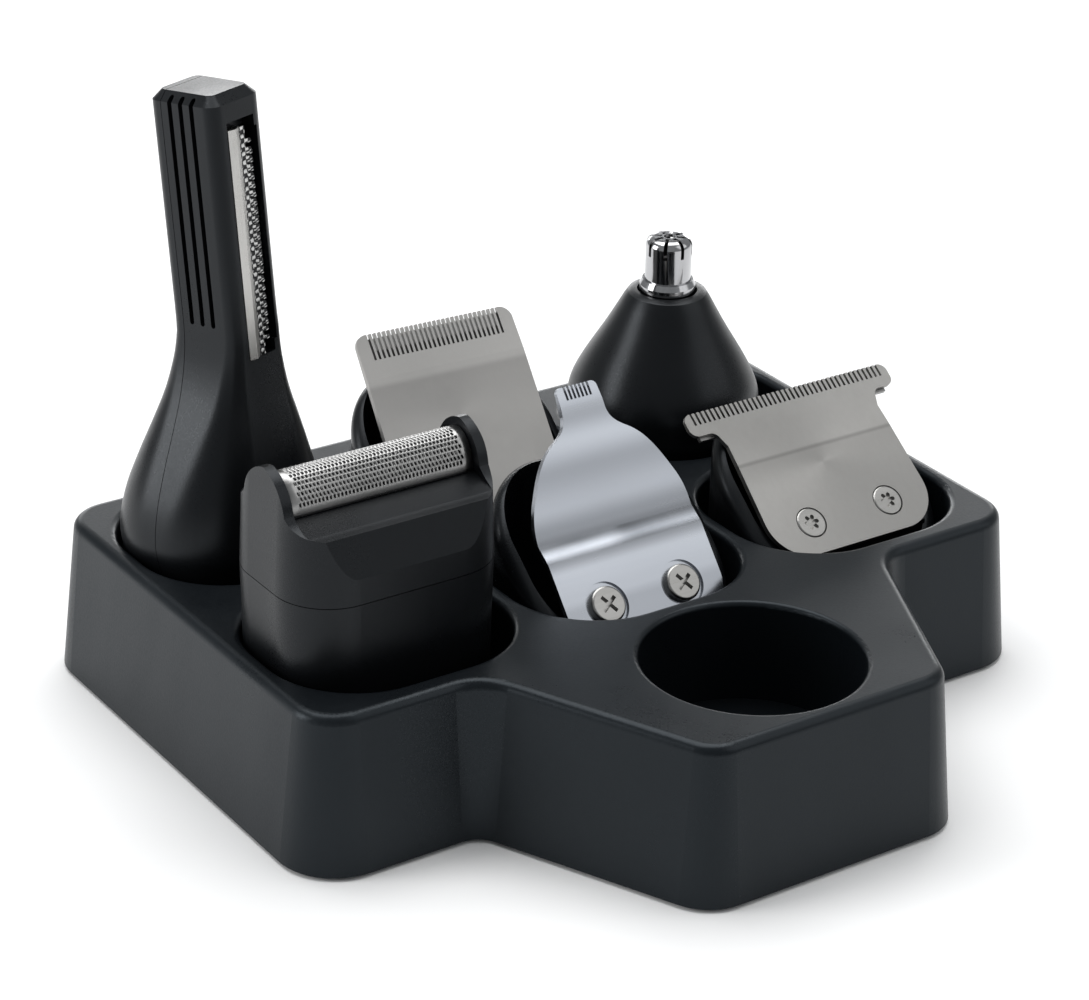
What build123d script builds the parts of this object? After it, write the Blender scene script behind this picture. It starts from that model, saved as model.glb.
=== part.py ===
from build123d import *
from math import atan, cos, degrees, radians, sin, tan
import os

# Attachment stand of a beard and body trimmer, with six cutting heads standing in it.
# Millimetres. X runs along the rows of sockets, Y from front to back, Z up.
# The origin is the centre of the footprint, on the surface the feet rest on.

os.makedirs("parts", exist_ok=True)

# ---------------------------------------------------------------- driving sizes
# stand
stand_height = 28.6
draft = 2.8                # how far each wall leans in from bottom to top
wall = 2.2
deck = 2.4
edge_round = 1.8           # top edge all round
rim_round = 1.2            # socket mouths
handle_rim_round = 0.9
corner_round = 10.5
lobe_round = 9.0
notch_round = 5.0
foot_drop = 0.5

# sockets: six oval ones in two rows of three, and an empty round one for the handle
socket_w = 44.0
socket_d = 38.0
socket_r = 16.0
handle_socket_r = 18.8
socket_depth = 18.6
socket_wall = 1.6
handle_socket_wall = 2.0   # meets the wall of the socket behind it

# flat deck left between and round the sockets
column_land = 3.0          # between the sockets of a row
row_land = 5.5             # between the two rows
handle_land = 3.2          # between the handle socket and the row behind it
front_land = 0.2           # from the rounded rim of the handle socket to the rounded front edge
side_land = 0.4
back_land = 0.2
step_land = 1.5            # in front of the outer sockets, where the stand narrows to its lobe
lobe_land = 6.6            # half width of the lobe's front end beyond the handle socket
notch_in = 3.5             # corner of the lobe, inside the middle of the outer sockets

# the stand follows from its sockets; footprint sizes are at the bottom edge
edge_reach = draft + edge_round
column_pitch = socket_w + column_land
row_pitch = socket_d + row_land
handle_pitch = handle_socket_r + handle_land + socket_d / 2
front_margin = handle_socket_r + handle_rim_round + front_land + edge_reach
back_margin = socket_d / 2 + rim_round + back_land + edge_reach
stand_width = 2 * column_pitch + socket_w + 2 * (rim_round + side_land + edge_reach)
stand_depth = front_margin + handle_pitch + row_pitch + back_margin
handle_y = front_margin - stand_depth / 2
row_front_y = handle_y + handle_pitch
row_back_y = row_front_y + row_pitch
lobe_length = front_margin + handle_pitch - socket_d / 2 - rim_round - step_land - edge_reach
lobe_half_front = handle_socket_r + lobe_land
lobe_half_back = column_pitch - notch_in

# base cover, feet and screws
cover_thick = 1.8
cover_gap = 0.2
foot_r = 5.0
foot_thick = 1.6
foot_in = 11.0             # from the front and back edges
foot_side_in = 15.2
foot_step_in = 9.8         # behind the step to the lobe
cover_screw_r = 1.3
cover_screw_head_r = 2.6
cover_screw_head = 1.2

# cup-shaped housing shared by the three blade heads
cup_play_w = 1.75          # between cup and socket, each side
cup_play_d = 2.5
cup_w = socket_w - 2 * cup_play_w
cup_d = socket_d - 2 * cup_play_d
cup_r = 14.0
cup_wall = 2.2
cup_floor = 3.0
cup_mid_height = 22.5      # height of the slanted mouth above the socket floor, at the middle
mouth_slope = 38.5
mouth_round = 2.6
plate_play = 1.45          # between a plate's edge and the inside of the cup
drive_hole_r = 6.0
recess_r = 13.0            # coupling recess under each head
recess_depth = 1.4

# running clearances
blade_gap = 0.1            # moving blade behind its fixed blade
slide_gap = 0.3            # other moving pieces
fit_gap = 0.05             # screws in their holes

# clipper head
clipper_shift = (-0.8, 1.4)      # it stands turned and off centre in its loose socket
clipper_turn = -3.0
clipper_slope = 52.0
clipper_seat = (-8.0, 26.3)      # Y from the socket centre and height of the screw line
clipper_blade_top = 33.0         # plate edge above the screw line, along the plate
clipper_narrowing = 0.4          # each side, towards the teeth
clipper_half_low = cup_w / 2 - cup_wall - plate_play
clipper_half_top = clipper_half_low - clipper_narrowing
clipper_slot = 5.0
clipper_teeth = 29
clipper_pitch = 0.95

# T-blade head
t_slope = 38.5
t_seat = (-7.6, 28.8)
t_bar_top = 26.0
t_bar_overhang = 6.3
t_bar_low = 21.4
t_body_half = cup_w / 2 - cup_wall - plate_play
t_bar_half = t_body_half + t_bar_overhang
t_teeth = 41
t_pitch = 1.05

# detail trimmer head
detail_lower_slope = 49.4
detail_upper_slope = 59.0
detail_step_slope = 33.0
detail_seat = (-10.7, 26.5)
detail_lower_run = 9.2           # screw line to the step
detail_step_run = 3.8
detail_upper_run = 25.3          # step to the tip
detail_tip_half = 4.1
detail_edge_in = 0.6             # narrower than the other plates, each side
detail_half = cup_w / 2 - cup_wall - plate_play - detail_edge_in
detail_teeth = 7
detail_pitch = 0.8

# blades in general
blade_thick = 1.1
cutter_thick = 0.8
tooth_gap = 0.45
tooth_length = 2.4
screw_shank_r = 1.1
screw_length = 5.0
seat_depth = 8.5                 # thickness of the seat block behind a plate
follower_depth = 4.0
spring_thick = 0.4
spring_half_width = 3.0
spring_gap = 0.02

# foil shaver head
foil_shift = (-1.2, 1.2)
foil_play_w = 2.0
foil_play_d = 4.5
foil_w = socket_w - 2 * foil_play_w
foil_d = socket_d - 2 * foil_play_d
foil_corner = 10.0
foil_seam = 31.6                 # seam above the socket floor
cheek_thick = 2.6
foil_length = foil_w - 2 * cheek_thick
foil_half = 4.6                  # arch of the foil: half width and height
foil_rise = 5.8
foil_spring_line = 45.0          # foot of the arch above the socket floor
foil_thick = 0.25
foil_taper = 2.0
foil_scoop_round = 4.0

# nose trimmer head
nose_shift = (-4.0, 0.6)
nose_play = 1.4
nose_base_r = socket_d / 2 - nose_play
nose_top_r = 7.3
nose_cone_top = 44.0             # above the socket floor
nose_tube_r = 4.3
nose_tip_top = 54.4
nose_tube_wall = 0.35
nose_slots = 8

# tall precision head
tall_shift = (-3.4, 1.8)
tall_turn = 19.0                 # degrees about its own axis
neck_lean = 0.105                # the neck leans back from the base
neck_ahead = 1.5                 # and starts ahead of the middle of the base
neck_w = 12.3
neck_d = 14.6
neck_top = 99.3                  # above the socket floor, along the neck
neck_foot = 57.0
neck_round = 2.4
tall_play_w = 4.3
tall_play_d = 4.2
tall_base_w = socket_w - 2 * tall_play_w
tall_base_d = socket_d - 2 * tall_play_d
tall_base_round = 13.0
tall_full_width = 21.0          # the base keeps its full width up to here
seam_back = 4.2                  # seam behind the middle of the neck
seam_gap = 0.12
channel_w = 6.4
channel_d = 6.0
window_x = 0.2
window_w = 6.6
window_depth = 2.6
window_low = 53.0
window_high = 94.5
strip_w = 2.8
comb_pitch = 1.5
lane_x = 3.0
lane_w = 2.2
slot_low = 59.0
slot_high = 100.5

socket_floor = stand_height - socket_depth


# ---------------------------------------------------------------- stand
def footprint(inset):
    """Outline of the stand at its bottom edge, moved in by inset."""
    half = stand_width / 2
    back = stand_depth / 2
    front = -stand_depth / 2
    step = front + lobe_length
    with BuildSketch() as outline:
        with BuildLine():
            Polyline(
                (-half, back), (-half, step), (-lobe_half_back, step), (-lobe_half_front, front),
                (lobe_half_front, front), (lobe_half_back, step), (half, step), (half, back),
                close=True,
            )
        make_face()
        corners = outline.vertices()
        fillet([v for v in corners if abs(v.X) > lobe_half_back + 1], corner_round)
        fillet([v for v in outline.vertices() if abs(abs(v.X) - lobe_half_back) < 0.1], notch_round)
        fillet([v for v in outline.vertices() if abs(v.Y - front) < 0.1
                and abs(abs(v.X) - lobe_half_front) < 0.1], lobe_round)
        if inset:
            offset(amount=-inset)
    return outline.sketch


def socket_outline(grow=0.0):
    """The six oval sockets, in two rows of three."""
    with BuildSketch() as outline:
        with Locations((0, row_front_y + row_pitch / 2)):
            with GridLocations(column_pitch, row_pitch, 3, 2):
                RectangleRounded(socket_w + 2 * grow, socket_d + 2 * grow, socket_r + grow)
    return outline.sketch


draft_angle = degrees(atan(draft / (stand_height - foot_drop)))
cover_places = [(-column_pitch / 2, row_front_y + row_pitch / 2),
                (column_pitch / 2, row_front_y + row_pitch / 2),
                (-column_pitch / 2, row_back_y + socket_d / 2 - 3),
                (column_pitch / 2, row_back_y + socket_d / 2 - 3)]

foot_places = [(side * (stand_width / 2 - foot_side_in), y) for side in (-1, 1)
               for y in (lobe_length + foot_step_in - stand_depth / 2, stand_depth / 2 - foot_in)]
foot_places.append((0, foot_in - stand_depth / 2))

with BuildPart() as stand_shell:
    with BuildSketch(Plane.XY.offset(foot_drop)):
        add(footprint(0))
    extrude(amount=stand_height - foot_drop, taper=draft_angle)
    top_face = stand_shell.faces().sort_by(Axis.Z)[-1]
    fillet(top_face.outer_wire().edges(), edge_round)
    with BuildSketch(Plane.XY.offset(foot_drop)):
        add(footprint(wall))
    extrude(amount=stand_height - foot_drop - deck, taper=draft_angle, mode=Mode.SUBTRACT)
    with BuildSketch(Plane.XY.offset(socket_floor - socket_wall)):
        add(socket_outline(socket_wall))
    extrude(amount=socket_depth + socket_wall - deck / 2)
    with BuildSketch(Plane.XY.offset(socket_floor - socket_wall)):
        with Locations((0, handle_y)):
            Circle(handle_socket_r + handle_socket_wall)
    extrude(amount=socket_depth + socket_wall - deck / 2)
    with BuildSketch(Plane.XY.offset(foot_drop + cover_thick)):
        with Locations(*cover_places):
            Circle(cover_screw_r + 2.2)
    extrude(amount=stand_height - foot_drop - cover_thick - deck / 2)
    with BuildSketch(Plane.XY.offset(socket_floor)):
        add(socket_outline())
    extrude(amount=socket_depth, mode=Mode.SUBTRACT)
    with BuildSketch(Plane.XY.offset(socket_floor)):
        with Locations((0, handle_y)):
            Circle(handle_socket_r)
    extrude(amount=socket_depth, mode=Mode.SUBTRACT)
    with BuildSketch(Plane.XY.offset(foot_drop + cover_thick)):
        with Locations(*cover_places):
            Circle(cover_screw_r + fit_gap)
    extrude(amount=8, mode=Mode.SUBTRACT)
    deck_face = stand_shell.faces().filter_by(Plane.XY).sort_by(Axis.Z)[-1]
    rims = [e for w in deck_face.inner_wires() for e in w.edges()]
    fillet([e for e in rims if e.center().Y > handle_y + handle_socket_r], rim_round)
    deck_face = stand_shell.faces().filter_by(Plane.XY).sort_by(Axis.Z)[-1]
    rims = [e for w in deck_face.inner_wires() for e in w.edges()]
    fillet([e for e in rims if e.center().Y < handle_y + handle_socket_r], handle_rim_round)
stand_shell.part.label = "stand_shell"

with BuildPart() as stand_base_cover:
    with BuildSketch(Plane.XY.offset(foot_drop)):
        add(footprint(wall + cover_gap))
    extrude(amount=cover_thick, taper=draft_angle)
    with BuildSketch(Plane.XY.offset(foot_drop)):
        with Locations(*cover_places):
            Circle(cover_screw_r + fit_gap)
    extrude(amount=cover_thick, mode=Mode.SUBTRACT)
    with BuildSketch(Plane.XY.offset(foot_drop)):
        with Locations(*cover_places):
            Circle(cover_screw_head_r + fit_gap)
    extrude(amount=cover_screw_head, mode=Mode.SUBTRACT)
    with BuildSketch(Plane.XY.offset(foot_drop)):
        with Locations(*foot_places):
            Circle(foot_r + fit_gap)
    extrude(amount=foot_thick - foot_drop, mode=Mode.SUBTRACT)
stand_base_cover.part.label = "stand_base_cover"

with BuildPart() as stand_feet:
    with BuildSketch(Plane.XY):
        with Locations(*foot_places):
            Circle(foot_r)
    extrude(amount=foot_thick)
    chamfer(stand_feet.faces().group_by(Axis.Z)[0].edges(), 0.4)
stand_feet.part.label = "stand_feet"

with BuildPart() as stand_screws:
    with BuildSketch(Plane.XY.offset(foot_drop)):
        with Locations(*cover_places):
            Circle(cover_screw_head_r)
    extrude(amount=cover_screw_head)
    with BuildSketch(Plane.XY.offset(foot_drop + cover_screw_head)):
        with Locations(*cover_places):
            Circle(cover_screw_r)
    extrude(amount=7.5)
    with BuildSketch(Plane.XY.offset(foot_drop)):
        with Locations(*cover_places):
            Rectangle(2.6, 0.6)
            Rectangle(0.6, 2.6)
    extrude(amount=0.7, mode=Mode.SUBTRACT)
stand_screws.part.label = "stand_screws"


# ---------------------------------------------------------------- blade heads
def head_plane(x, y, turn=0.0):
    """Socket floor under one head, turned about the upright axis."""
    return Plane((x, y, socket_floor), x_dir=(cos(radians(turn)), sin(radians(turn)), 0))


def side_plane(base):
    """Side view of a head: its X is the stand's Y, its Y is up."""
    return Plane(base.origin, x_dir=base.y_dir, z_dir=base.x_dir)


def plate_plane(base, seat, slope):
    """Front face of a blade plate: Y runs up the plate from its screw line."""
    y, z = seat
    origin = base.origin + base.y_dir * y + Vector(0, 0, z - socket_floor)
    out = Vector(0, 0, cos(radians(slope))) - base.y_dir * sin(radians(slope))
    return Plane(origin, x_dir=base.x_dir, z_dir=out)


def on_side(seat, slope, along, out):
    """A plate point in the side view: along the plate and out from its front face."""
    a = radians(slope)
    y, z = seat
    return (y + along * cos(a) - out * sin(a), z - socket_floor + along * sin(a) + out * cos(a))


def cup_housing(base, seat, slope, seat_low, seat_high, seat_width, screw_spacing):
    """Oval cup with a slanted mouth, a seat block for the plate and a coupling recess."""
    reach = cup_d / 2 + 1
    rise = reach * tan(radians(mouth_slope))
    mouth = side_plane(base)
    back = seat_depth + blade_thick
    with BuildPart() as housing:
        with BuildSketch(base):
            RectangleRounded(cup_w, cup_d, cup_r)
        extrude(amount=cup_mid_height + rise + 5)
        with BuildSketch(mouth):
            with BuildLine():
                Polyline((-reach, cup_mid_height - rise), (reach, cup_mid_height + rise),
                         (reach, cup_mid_height + rise + 30), (-reach, cup_mid_height + rise + 30),
                         close=True)
            make_face()
        extrude(amount=cup_w, both=True, mode=Mode.SUBTRACT)
        fillet(housing.faces().sort_by(Axis.Z)[-1].edges(), mouth_round)
        with BuildSketch(base.offset(cup_floor)):
            RectangleRounded(cup_w - 2 * cup_wall, cup_d - 2 * cup_wall, cup_r - cup_wall)
        extrude(amount=2 * cup_mid_height + rise, mode=Mode.SUBTRACT)
        with BuildSketch(mouth):
            low = on_side(seat, slope, seat_low, -blade_thick)
            high = on_side(seat, slope, seat_high, -blade_thick)
            rear = on_side(seat, slope, seat_high, -back)
            with BuildLine():
                Polyline((low[0], cup_floor / 2), low, high, rear, (rear[0], cup_floor / 2), close=True)
            make_face()
        extrude(amount=seat_width / 2, both=True)
        with BuildSketch(base):
            RectangleRounded(cup_w, cup_d, cup_r)
        extrude(amount=4 * cup_mid_height, mode=Mode.INTERSECT)
        with BuildSketch(base):
            Circle(recess_r)
        extrude(amount=recess_depth, mode=Mode.SUBTRACT)
        with BuildSketch(plate_plane(base, seat, slope)):
            with Locations((-screw_spacing / 2, 0), (screw_spacing / 2, 0)):
                Circle(screw_shank_r + fit_gap)
        extrude(amount=-blade_thick - screw_length, mode=Mode.SUBTRACT)
    return housing.part


def comb_slots(count, pitch, top, length):
    """Gaps between teeth, open at the plate's top edge."""
    with BuildSketch() as slots:
        with Locations((0, top - length / 2 + 0.5)):
            with GridLocations(pitch, 1, count, 1):
                Rectangle(tooth_gap, length + 1)
    return slots.sketch


def moving_blade(plane, half, top, low, stem_half, stem_low, count, pitch):
    """Cutter behind a plate: a toothed bar on a stem that carries the follower."""
    with BuildPart() as blade:
        with BuildSketch(plane.offset(-blade_thick - blade_gap)):
            with BuildLine():
                Polyline((-stem_half, stem_low), (-stem_half, low), (-half, low), (-half, top),
                         (half, top), (half, low), (stem_half, low), (stem_half, stem_low), close=True)
            make_face()
            add(comb_slots(count, pitch, top, tooth_length), mode=Mode.SUBTRACT)
        extrude(amount=-cutter_thick)
    return blade.part


def cam_follower(plane, low, high):
    """Plastic follower on the back of a cutter, with a fork for the handle's eccentric pin."""
    with BuildPart() as follower:
        with BuildSketch(plane.offset(-blade_thick - blade_gap - cutter_thick)):
            with Locations((0, (low + high) / 2)):
                RectangleRounded(10, high - low, 1.5)
        extrude(amount=-follower_depth)
        with BuildSketch(plane.offset(-blade_thick - blade_gap - cutter_thick - 1.2)):
            with Locations((0, low + (high - low) * 0.3)):
                SlotOverall(high - low, 3.2, rotation=90)
        extrude(amount=-4, mode=Mode.SUBTRACT)
    return follower.part


def blade_spring(base, seat, slope, seat_high, follower_low, follower_high):
    """Leaf spring: foot on the seat block's top face, leaf up the back of the follower."""
    lift = spring_thick / 2 + spring_gap
    back = blade_thick + blade_gap + cutter_thick + follower_depth + slide_gap + spring_thick / 2
    with BuildPart() as spring:
        with BuildSketch(side_plane(base)):
            with BuildLine():
                FilletPolyline(
                    on_side(seat, slope, seat_high + lift, -blade_thick - 2.6),
                    on_side(seat, slope, seat_high + lift, -back - 0.2),
                    on_side(seat, slope, (follower_low + follower_high) / 2, -back),
                    on_side(seat, slope, follower_high + 1, -back - 0.8),
                    radius=0.6,
                )
            trace(line_width=spring_thick)
        extrude(amount=spring_half_width, both=True)
    return spring.part


def blade_screws(plane, spacing, head_r, head_height, sink, recess):
    """Two screws: heads sunk by sink into the plate, with a cross or a six-lobe recess."""
    places = [(-spacing / 2, 0), (spacing / 2, 0)]
    with BuildPart() as screws:
        with BuildSketch(plane.offset(-blade_thick - screw_length + 0.6)):
            with Locations(*places):
                Circle(screw_shank_r)
        extrude(amount=blade_thick + screw_length - 0.6 - sink)
        with BuildSketch(plane.offset(-sink)):
            with Locations(*places):
                Circle(head_r)
        extrude(amount=head_height)
        tops = screws.faces().filter_by(lambda f: abs((f.center() - plane.offset(head_height - sink).origin)
                                                      .dot(plane.z_dir)) < 0.01)
        fillet([e for f in tops for e in f.edges()], min(head_height * 0.45, 0.5))
        with BuildSketch(plane.offset(head_height - sink)):
            with Locations(*places):
                if recess == "cross":
                    Rectangle(head_r * 1.1, 0.7, rotation=35)
                    Rectangle(0.7, head_r * 1.1, rotation=35)
                else:
                    for turn in (0, 60, 120):
                        SlotOverall(head_r * 1.05, 0.75, rotation=turn)
        extrude(amount=-min(head_height * 0.7, 0.8), mode=Mode.SUBTRACT)
    return screws.part


def screw_seats(plane, spacing, shank_r, head_r, sink):
    """Holes and sunk seats for two screws, as a solid to take away from a plate."""
    with BuildPart() as seats:
        with BuildSketch(plane.offset(1)):
            with Locations((-spacing / 2, 0), (spacing / 2, 0)):
                Circle(head_r)
        extrude(amount=-1 - sink)
        with BuildSketch(plane.offset(1)):
            with Locations((-spacing / 2, 0), (spacing / 2, 0)):
                Circle(shank_r)
        extrude(amount=-10)
    return seats.part


# clipper: wide flared plate with a comb along its top edge
clipper_base = head_plane(clipper_shift[0], row_back_y + clipper_shift[1], clipper_turn)
clipper_plane = plate_plane(clipper_base, clipper_seat, clipper_slope)
clipper_spacing = 18.0
clipper_head_r = 2.6
clipper_sink = 0.5
clipper_bevel_foot = clipper_blade_top - 8.5

with BuildPart() as clipper_housing:
    add(cup_housing(clipper_base, clipper_seat, clipper_slope, -4.5, 4.0, 30.0, clipper_spacing))
clipper_housing.part.label = "clipper_housing"

with BuildPart() as clipper_fixed_blade:
    with BuildSketch(clipper_plane) as clipper_outline:
        with BuildLine():
            Polyline((-clipper_half_low, -5), (-clipper_half_top, clipper_blade_top),
                     (clipper_half_top, clipper_blade_top), (clipper_half_low, -5), close=True)
        make_face()
        fillet(clipper_outline.vertices().group_by(Axis.Y)[-1], 2.4)
        fillet(clipper_outline.vertices().group_by(Axis.Y)[0], 7.0)
        add(comb_slots(clipper_teeth, clipper_pitch, clipper_blade_top, clipper_slot),
            mode=Mode.SUBTRACT)
    extrude(amount=-blade_thick)
    with BuildSketch(side_plane(clipper_base)):
        with BuildLine():
            Polyline(on_side(clipper_seat, clipper_slope, clipper_bevel_foot, 0),
                     on_side(clipper_seat, clipper_slope, clipper_blade_top + 1, -0.55),
                     on_side(clipper_seat, clipper_slope, clipper_blade_top + 1, 1), close=True)
        make_face()
    extrude(amount=clipper_half_low + 1, both=True, mode=Mode.SUBTRACT)
    add(screw_seats(clipper_plane, clipper_spacing, screw_shank_r + 0.1, clipper_head_r + 0.1,
                    clipper_sink), mode=Mode.SUBTRACT)
clipper_fixed_blade.part.label = "clipper_fixed_blade"

with BuildPart() as clipper_moving_blade:
    add(moving_blade(clipper_plane, clipper_half_top - 2.6, clipper_blade_top - 0.8,
                     clipper_blade_top - 9, 7, 5.2, clipper_teeth - 2, clipper_pitch))
clipper_moving_blade.part.label = "clipper_moving_blade"

with BuildPart() as clipper_cam_follower:
    add(cam_follower(clipper_plane, 5.6, 13.0))
clipper_cam_follower.part.label = "clipper_cam_follower"

with BuildPart() as clipper_blade_spring:
    add(blade_spring(clipper_base, clipper_seat, clipper_slope, 4.0, 5.6, 13.0))
clipper_blade_spring.part.label = "clipper_blade_spring"

with BuildPart() as clipper_blade_screws:
    add(blade_screws(clipper_plane, clipper_spacing, clipper_head_r, 1.2, clipper_sink, "cross"))
clipper_blade_screws.part.label = "clipper_blade_screws"

# T-blade: toothed bar wider than the plate that carries it
t_base = head_plane(column_pitch, row_front_y)
t_plane = plate_plane(t_base, t_seat, t_slope)
t_spacing = 17.3
t_head_r = 2.9
t_sink = 0.7
t_fold = 14.1

with BuildPart() as t_housing:
    add(cup_housing(t_base, t_seat, t_slope, -5.0, 5.0, 30.0, t_spacing))
t_housing.part.label = "t_housing"

with BuildPart() as t_fixed_blade:
    with BuildSketch(t_plane) as t_outline:
        with BuildLine():
            Polyline((0, t_bar_top), (-t_bar_half, t_bar_top), (-t_bar_half, t_bar_low),
                     (-t_body_half - 1.5, t_bar_low), (-t_body_half - 0.4, t_fold + 4),
                     (-t_body_half - 0.6, t_fold), (-t_body_half - 1.2, 2), (-t_body_half - 1.2, -6),
                     (0, -6))
            mirror(about=Plane.YZ)
        make_face()
        fillet([v for v in t_outline.vertices() if abs(abs(v.X) - t_bar_half) < 0.01], 1.7)
        fillet([v for v in t_outline.vertices()
                if abs(abs(v.X) - t_body_half - 1.5) < 0.01], 1.6)
        fillet([v for v in t_outline.vertices().group_by(Axis.Y)[0]
                if abs(v.X) > 5], 7.5)
        add(comb_slots(t_teeth, t_pitch, t_bar_top, tooth_length), mode=Mode.SUBTRACT)
    extrude(amount=-blade_thick)
    with BuildSketch(side_plane(t_base)):
        with BuildLine():
            Polyline(on_side(t_seat, t_slope, t_fold, 0), on_side(t_seat, t_slope, t_bar_top + 1, -0.5),
                     on_side(t_seat, t_slope, t_bar_top + 1, 1), close=True)
        make_face()
    extrude(amount=t_bar_half + 1, both=True, mode=Mode.SUBTRACT)
    add(screw_seats(t_plane, t_spacing, screw_shank_r + 0.1, t_head_r + 0.1, t_sink), mode=Mode.SUBTRACT)
t_fixed_blade.part.label = "t_fixed_blade"

with BuildPart() as t_moving_blade:
    add(moving_blade(t_plane, t_bar_half - 1.9, t_bar_top - 0.7, t_bar_top - 5.2, 9, 6.0,
                     t_teeth - 2, t_pitch))
t_moving_blade.part.label = "t_moving_blade"

with BuildPart() as t_cam_follower:
    add(cam_follower(t_plane, 6.8, 13.5))
t_cam_follower.part.label = "t_cam_follower"

with BuildPart() as t_blade_spring:
    add(blade_spring(t_base, t_seat, t_slope, 5.0, 6.8, 13.5))
t_blade_spring.part.label = "t_blade_spring"

with BuildPart() as t_blade_screws:
    add(blade_screws(t_plane, t_spacing, t_head_r, 0.8, t_sink, "lobes"))
t_blade_screws.part.label = "t_blade_screws"

# detail trimmer: spoon-shaped plate, stepped across the middle, with a narrow toothed tip
detail_base = head_plane(0, row_front_y)
detail_plane = plate_plane(detail_base, detail_seat, detail_lower_slope)
detail_spacing = 15.7
detail_head_r = 3.3
detail_seat_gap = 0.9
detail_sink = 0.5


def run_from(point, slope, length):
    a = radians(slope)
    return (point[0] + length * cos(a), point[1] + length * sin(a))


detail_step_foot = run_from(detail_seat, detail_lower_slope, detail_lower_run)
detail_step_head = run_from(detail_step_foot, detail_step_slope, detail_step_run)
detail_tip = run_from(detail_step_head, detail_upper_slope, detail_upper_run)
detail_upper = plate_plane(detail_base, detail_step_head, detail_upper_slope)

with BuildPart() as detail_housing:
    add(cup_housing(detail_base, detail_seat, detail_lower_slope, -3.5, 4.5, 28.0, detail_spacing))
detail_housing.part.label = "detail_housing"

with BuildPart() as detail_fixed_blade:
    with BuildSketch(side_plane(detail_base)):
        with BuildLine():
            FilletPolyline(
                on_side(detail_seat, detail_lower_slope, -4.6, -blade_thick / 2),
                on_side(detail_seat, detail_lower_slope, detail_lower_run, -blade_thick / 2),
                on_side(detail_step_head, detail_upper_slope, 0, -blade_thick / 2),
                on_side(detail_step_head, detail_upper_slope, detail_upper_run, -blade_thick / 2),
                radius=1.4,
            )
        trace(line_width=blade_thick)
    extrude(amount=detail_half + 1, both=True)
    with BuildSketch(detail_upper) as detail_outline:
        with BuildLine():
            tip_side = Polyline((0, detail_upper_run), (-detail_tip_half, detail_upper_run),
                                (-detail_tip_half - 0.3, detail_upper_run - 5))
            Spline(tip_side @ 1, (-8.6, 15.6), (-14.0, 8.0), (-detail_half, 0),
                   tangents=[(-0.1, -1), (0, -1)])
            Polyline((-detail_half, 0), (-detail_half, -19), (0, -19))
            mirror(about=Plane.YZ)
        make_face()
        fillet([v for v in detail_outline.vertices().group_by(Axis.Y)[-1] if abs(v.X) > 1], 1.0)
        fillet([v for v in detail_outline.vertices().group_by(Axis.Y)[0] if abs(v.X) > 1], 6.5)
        add(comb_slots(detail_teeth, detail_pitch, detail_upper_run, tooth_length), mode=Mode.SUBTRACT)
    extrude(amount=20, both=True, mode=Mode.INTERSECT)
    with BuildSketch(side_plane(detail_base)):
        with BuildLine():
            Polyline(on_side(detail_step_head, detail_upper_slope, detail_upper_run - 3.3, 0),
                     on_side(detail_step_head, detail_upper_slope, detail_upper_run + 1, -0.7),
                     on_side(detail_step_head, detail_upper_slope, detail_upper_run + 1, 1), close=True)
        make_face()
    extrude(amount=detail_half + 1, both=True, mode=Mode.SUBTRACT)
    add(screw_seats(detail_plane, detail_spacing, screw_shank_r + 0.1, detail_head_r + detail_seat_gap,
                    detail_sink), mode=Mode.SUBTRACT)
detail_fixed_blade.part.label = "detail_fixed_blade"

with BuildPart() as detail_moving_blade:
    with BuildSketch(detail_upper.offset(-blade_thick - blade_gap)) as detail_cutter:
        with BuildLine():
            Polyline((-3.2, detail_upper_run - 0.6), (3.2, detail_upper_run - 0.6),
                     (3.2, detail_upper_run - 6), (7, 12), (7, 3), (-7, 3), (-7, 12),
                     (-3.2, detail_upper_run - 6), close=True)
        make_face()
        add(comb_slots(detail_teeth - 1, detail_pitch, detail_upper_run - 0.6, tooth_length),
            mode=Mode.SUBTRACT)
    extrude(amount=-cutter_thick)
detail_moving_blade.part.label = "detail_moving_blade"

with BuildPart() as detail_cam_follower:
    add(cam_follower(detail_upper, 3.0, 10.0))
detail_cam_follower.part.label = "detail_cam_follower"

with BuildPart() as detail_blade_spring:
    follower_back = blade_thick + blade_gap + cutter_thick + follower_depth + slide_gap + spring_thick / 2
    with BuildSketch(side_plane(detail_base)):
        with BuildLine():
            FilletPolyline(
                on_side(detail_seat, detail_lower_slope, 4.5 + spring_thick / 2 + spring_gap,
                        -blade_thick - 4.0),
                on_side(detail_seat, detail_lower_slope, 4.5 + spring_thick / 2 + spring_gap,
                        -blade_thick - 8.0),
                on_side(detail_step_head, detail_upper_slope, 6.5, -follower_back),
                on_side(detail_step_head, detail_upper_slope, 11.0, -follower_back - 0.8),
                radius=0.6,
            )
        trace(line_width=spring_thick)
    extrude(amount=spring_half_width, both=True)
detail_blade_spring.part.label = "detail_blade_spring"

with BuildPart() as detail_blade_screws:
    add(blade_screws(detail_plane, detail_spacing, detail_head_r, 1.3, detail_sink, "cross"))
detail_blade_screws.part.label = "detail_blade_screws"

# ---------------------------------------------------------------- foil shaver head
foil_base_plane = head_plane(-column_pitch + foil_shift[0], row_front_y + foil_shift[1])
foil_side = side_plane(foil_base_plane)
foil_inner = foil_half - foil_thick
foil_lip = foil_spring_line - 1.6         # height of the ledge's outer edge
foil_lip_y = foil_d / 2 - 2.0
foil_cutter_half = foil_half - foil_thick - 0.3
foil_stroke = 1.2

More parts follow.
